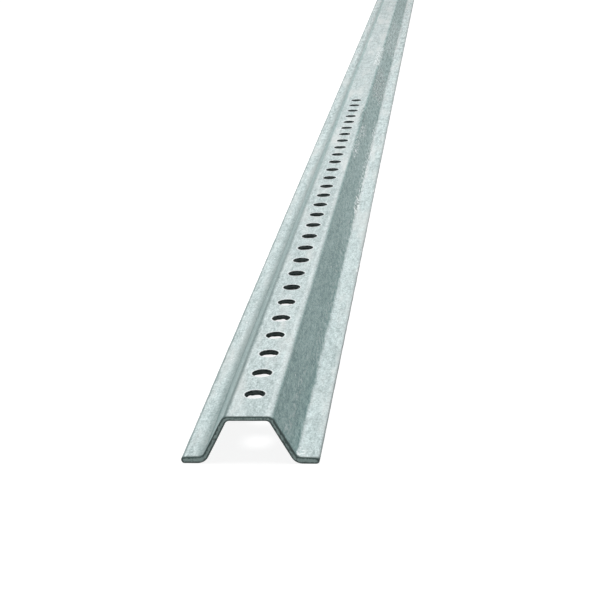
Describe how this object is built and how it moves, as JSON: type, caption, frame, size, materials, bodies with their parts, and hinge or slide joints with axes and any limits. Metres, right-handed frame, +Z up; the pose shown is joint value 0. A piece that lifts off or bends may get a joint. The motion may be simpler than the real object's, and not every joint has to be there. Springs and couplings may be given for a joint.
{
  "type": "traffic sign post",
  "caption": "Straight galvanized steel sign post of flanged channel section, with a row of round bolt holes along its web.",
  "frame": {"origin": "middle of the post's length and width, on the ground plane under the soles of the flanges", "axes": "+Z up from the soles to the face of the web, Y along the post with the punched end at -Y, X across it"},
  "size_m": [0.0626, 1.8288, 0.023],
  "materials": {
    "galvanized_steel": "hot-dip galvanized, mottled matte grey with soft sheen"
  },
  "bodies": {
    "root": {"post": "galvanized_steel"}
  },
  "joints": []
}
